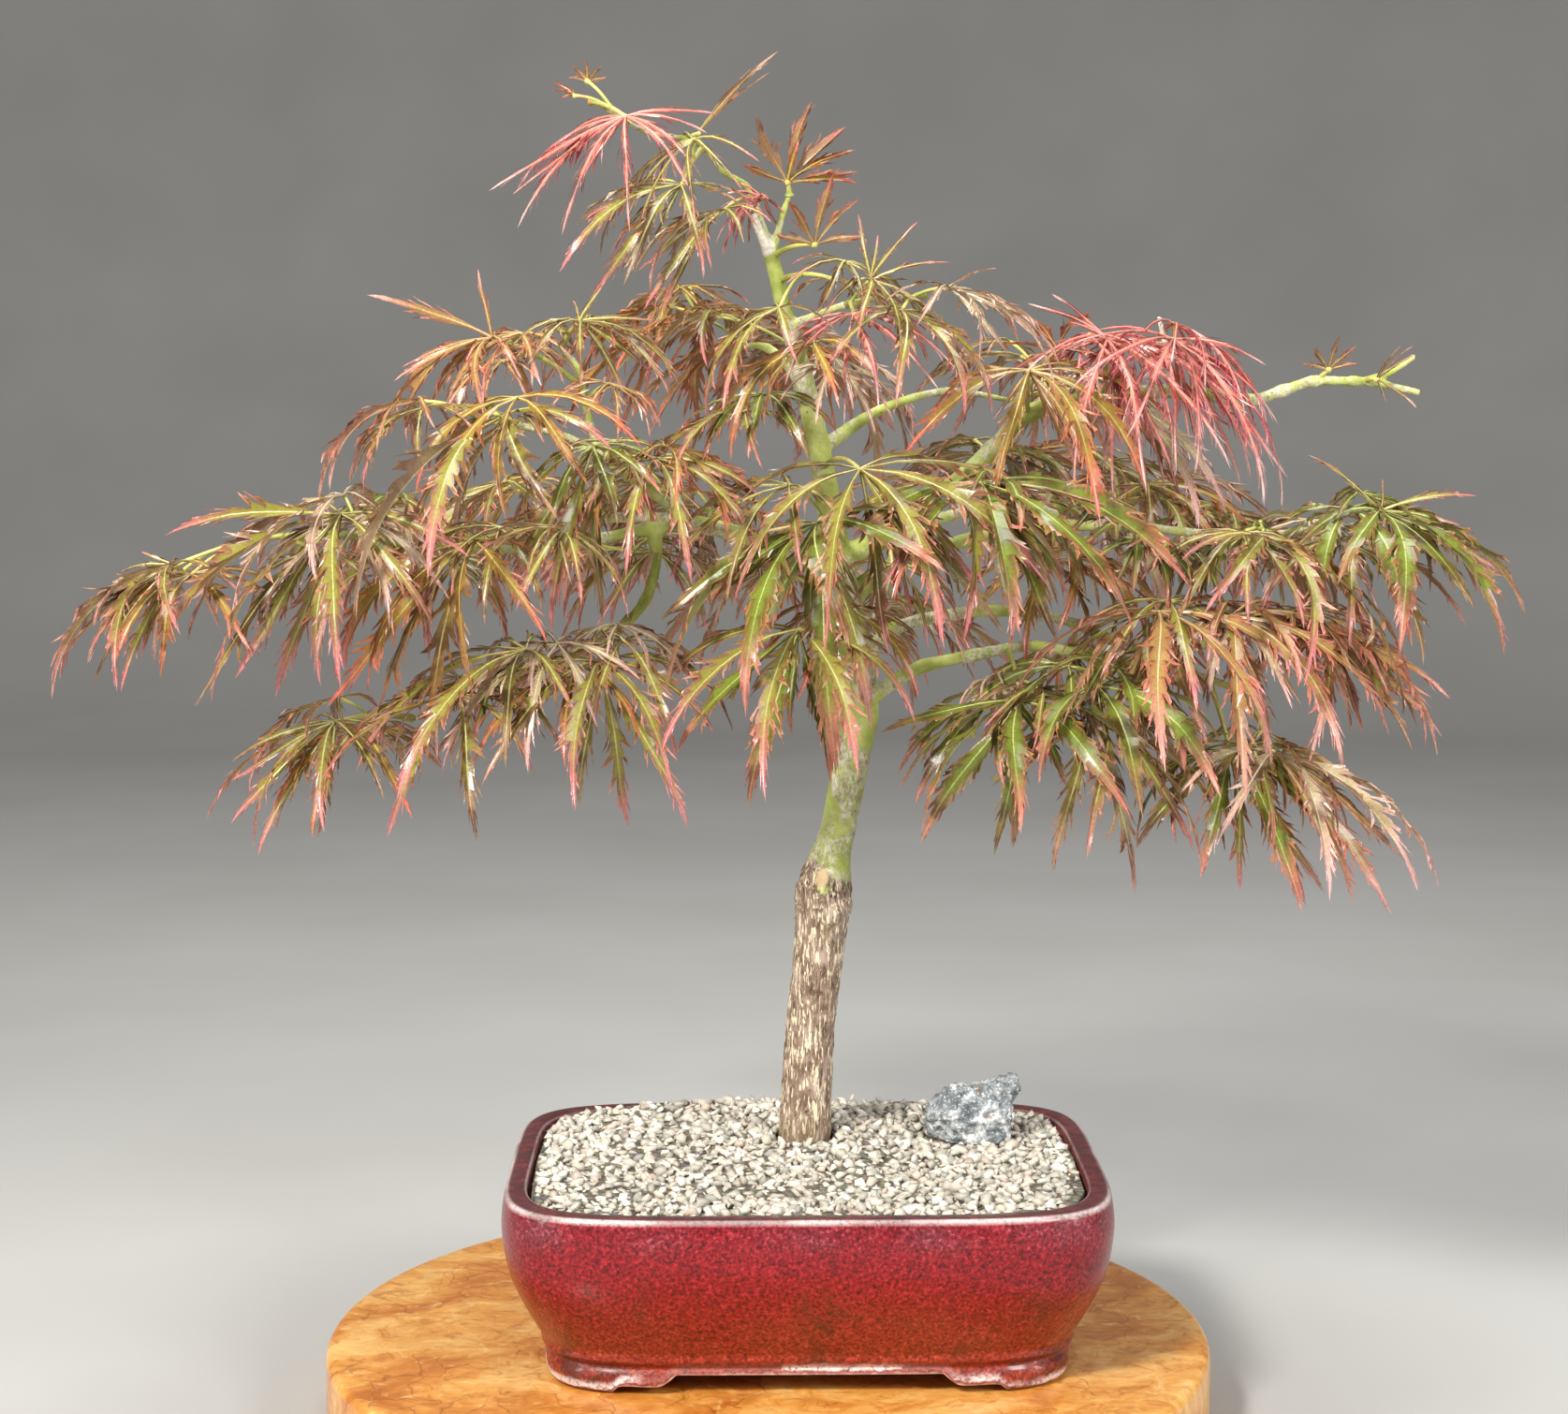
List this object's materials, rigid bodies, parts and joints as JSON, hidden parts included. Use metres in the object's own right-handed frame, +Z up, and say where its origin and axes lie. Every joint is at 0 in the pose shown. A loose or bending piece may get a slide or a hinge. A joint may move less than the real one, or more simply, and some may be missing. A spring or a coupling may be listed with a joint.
{
  "type": "crimson queen japanese maple bonsai",
  "caption": "Laceleaf Japanese maple bonsai with drooping bronze and pink leaves, in a crimson glazed pot on a round wooden board.",
  "frame": {"origin": "centre of the round board's flat underside, which the object rests on", "axes": "+Z up along the tree, +X to the viewer's right and +Y away from the viewer, with the tree's front towards -Y"},
  "size_m": [0.7352, 0.457, 0.6966],
  "materials": {
    "board_wood": "satin",
    "pot_glaze": "gloss",
    "gravel": "matte",
    "rock": "matte",
    "bark": "matte",
    "foliage_bronze": "satin",
    "foliage_green": "satin",
    "foliage_orange": "satin",
    "foliage_pale": "satin",
    "foliage_pink": "satin",
    "foliage_young": "satin",
    "foliage_wisp": "satin"
  },
  "bodies": {
    "root": {"round_board": "board_wood", "pot": "pot_glaze", "gravel_bed": "gravel", "rock": "rock", "trunk_and_limbs": "bark", "spray_far_left": "foliage_bronze", "spray_left_fan": "foliage_bronze", "spray_left_outer": "foliage_pale", "spray_left_upper": "foliage_bronze", "spray_left_high": "foliage_bronze", "spray_left_nook": "foliage_pale", "spray_left_middle": "foliage_green", "spray_left_inner": "foliage_bronze", "spray_low_left_far": "foliage_bronze", "spray_low_left_outer": "foliage_bronze", "spray_low_left_inner": "foliage_bronze", "spray_front_high": "foliage_green", "spray_front_low": "foliage_bronze", "spray_front_right": "foliage_bronze", "spray_under_fork": "foliage_bronze", "spray_right_broad": "foliage_green", "spray_upper_left_front": "foliage_orange", "spray_upper_middle": "foliage_pink", "spray_upper_right_front": "foliage_bronze", "spray_orange": "foliage_orange", "spray_upper_left_back": "foliage_bronze", "spray_under_apex": "foliage_young", "spray_apex": "foliage_young", "spray_top_left_low": "foliage_pink", "spray_top_left_middle": "foliage_bronze", "spray_top_left_wisp": "foliage_wisp", "spray_top_left_end": "foliage_pink", "spray_pink_left": "foliage_pink", "spray_pink_right": "foliage_pink", "spray_right_buds": "foliage_young", "spray_right_ends": "foliage_wisp", "spray_far_right": "foliage_green", "spray_right_upper": "foliage_green", "spray_right_outer": "foliage_bronze", "spray_right_inner": "foliage_green", "spray_right_arch": "foliage_pale", "spray_right_centre": "foliage_bronze", "spray_right_edge": "foliage_bronze", "spray_low_right_near": "foliage_green", "spray_right_shade": "foliage_bronze", "spray_low_right_middle": "foliage_green", "spray_low_right_hang": "foliage_bronze", "spray_low_right_outer": "foliage_green", "spray_low_right_pale": "foliage_pale", "spray_back_left_1": "foliage_bronze", "spray_back_left_2": "foliage_bronze", "spray_back_left_3": "foliage_orange", "spray_back_right_1": "foliage_pale", "spray_back_right_2": "foliage_bronze", "spray_back_right_3": "foliage_bronze", "spray_back_high_1": "foliage_pale", "spray_back_high_2": "foliage_orange", "spray_back_top_right_1": "foliage_pale", "spray_back_low_1": "foliage_bronze"}
  },
  "joints": []
}
